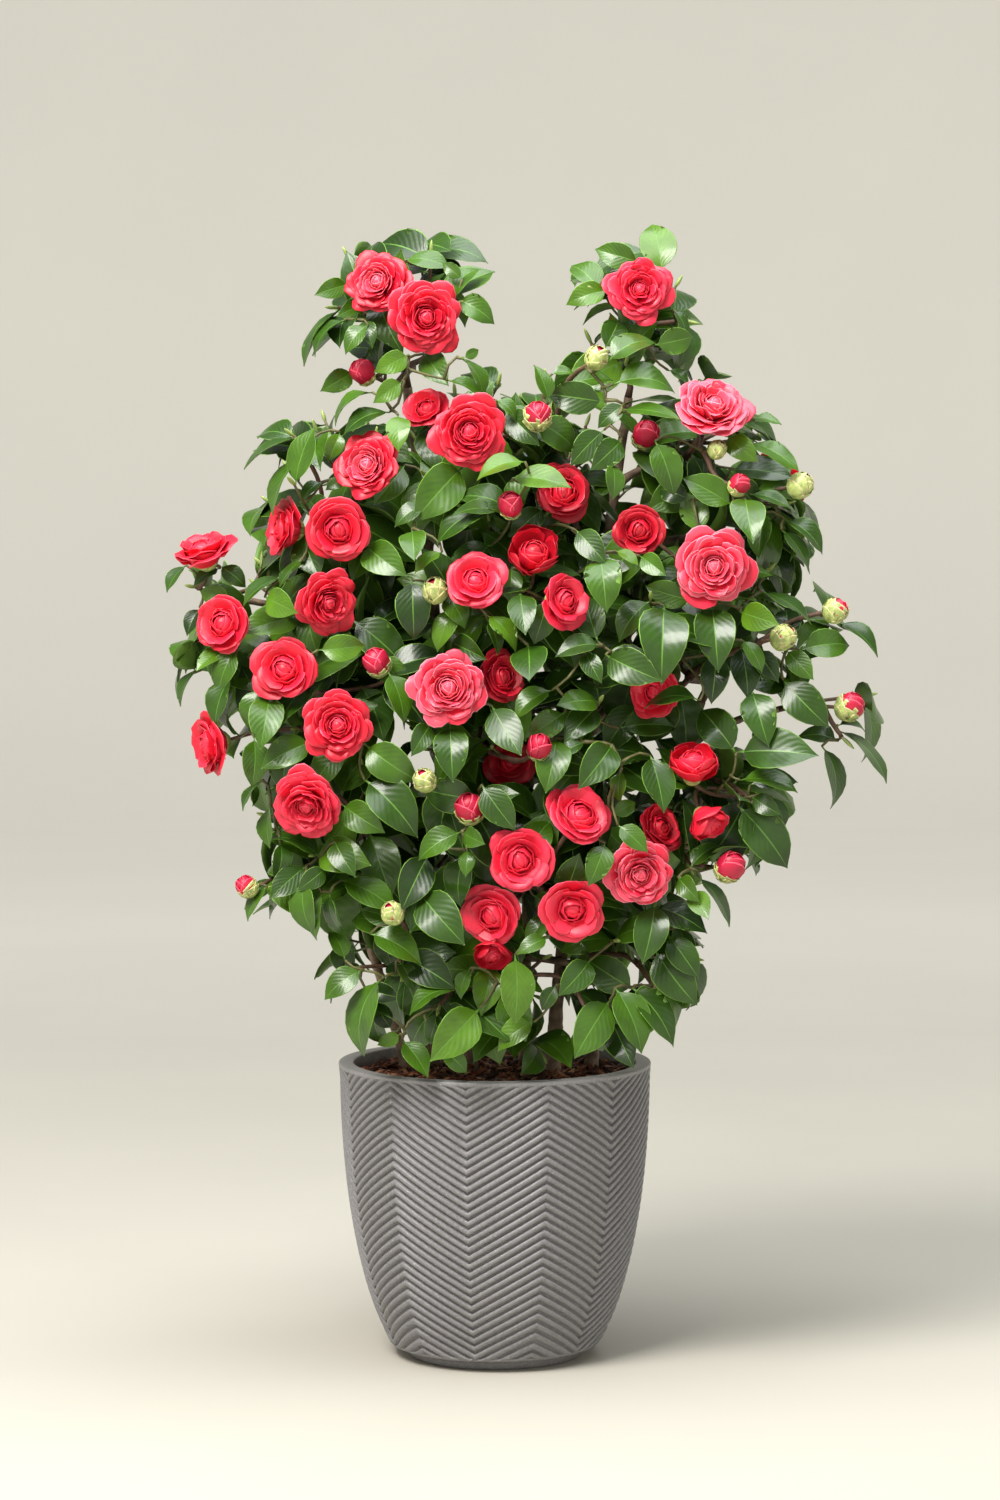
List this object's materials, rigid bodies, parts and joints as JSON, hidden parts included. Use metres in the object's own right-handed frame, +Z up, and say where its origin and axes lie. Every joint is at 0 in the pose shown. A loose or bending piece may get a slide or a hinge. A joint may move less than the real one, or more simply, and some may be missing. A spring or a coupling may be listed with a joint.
{
  "type": "camellia shrub in a planter",
  "caption": "Flowering evergreen shrub with several slender stems from a mulched round planter, carrying glossy oval leaves and rosette blooms on an open, upright crown.",
  "frame": {"origin": "centre of the planter's flat underside, at the level it stands on", "axes": "+Z up along the planter's axis, -Y towards the crown's front, +X to the right seen from the front"},
  "size_m": [0.7312, 0.4754, 1.1206],
  "materials": {
    "planter": "satin concrete",
    "mulch": "rough bark chips",
    "bark": "matte bark",
    "foliage": "glossy leaf",
    "petals": "satin petal"
  },
  "bodies": {
    "root": {"pot": "planter", "soil": "mulch", "stem_back": "bark", "stem_centre": "bark", "stem_left": "bark", "stem_left_inner": "bark", "stem_right": "bark", "stem_tall": "bark", "bough_back_left": "bark", "bough_back_low_left": "bark", "bough_back_low_right": "bark", "bough_back_middle": "bark", "bough_back_right": "bark", "bough_centre": "bark", "bough_inner_right": "bark", "bough_left_arm": "bark", "bough_left_lower": "bark", "bough_low_centre": "bark", "bough_low_front": "bark", "bough_low_left": "bark", "bough_low_right": "bark", "bough_middle": "bark", "bough_middle_top": "bark", "bough_right_arm": "bark", "bough_right_high": "bark", "bough_right_lower": "bark", "bough_right_shoulder": "bark", "bough_upper_centre": "bark", "mass_back_left": "foliage", "mass_back_low_left": "foliage", "mass_back_low_right": "foliage", "mass_back_middle": "foliage", "mass_back_right": "foliage", "mass_back_top": "foliage", "mass_centre": "foliage", "mass_inner_right": "foliage", "mass_left_arm": "foliage", "mass_left_lower": "foliage", "mass_left_middle": "foliage", "mass_left_shoulder": "foliage", "mass_low_centre": "foliage", "mass_low_front": "foliage", "mass_low_left": "foliage", "mass_low_right": "foliage", "mass_middle": "foliage", "mass_middle_top": "foliage", "mass_right_arm": "foliage", "mass_right_high": "foliage", "mass_right_lower": "foliage", "mass_right_middle": "foliage", "mass_right_shoulder": "foliage", "mass_top_left": "foliage", "mass_top_right": "foliage", "mass_upper_centre": "foliage"}
  },
  "joints": []
}
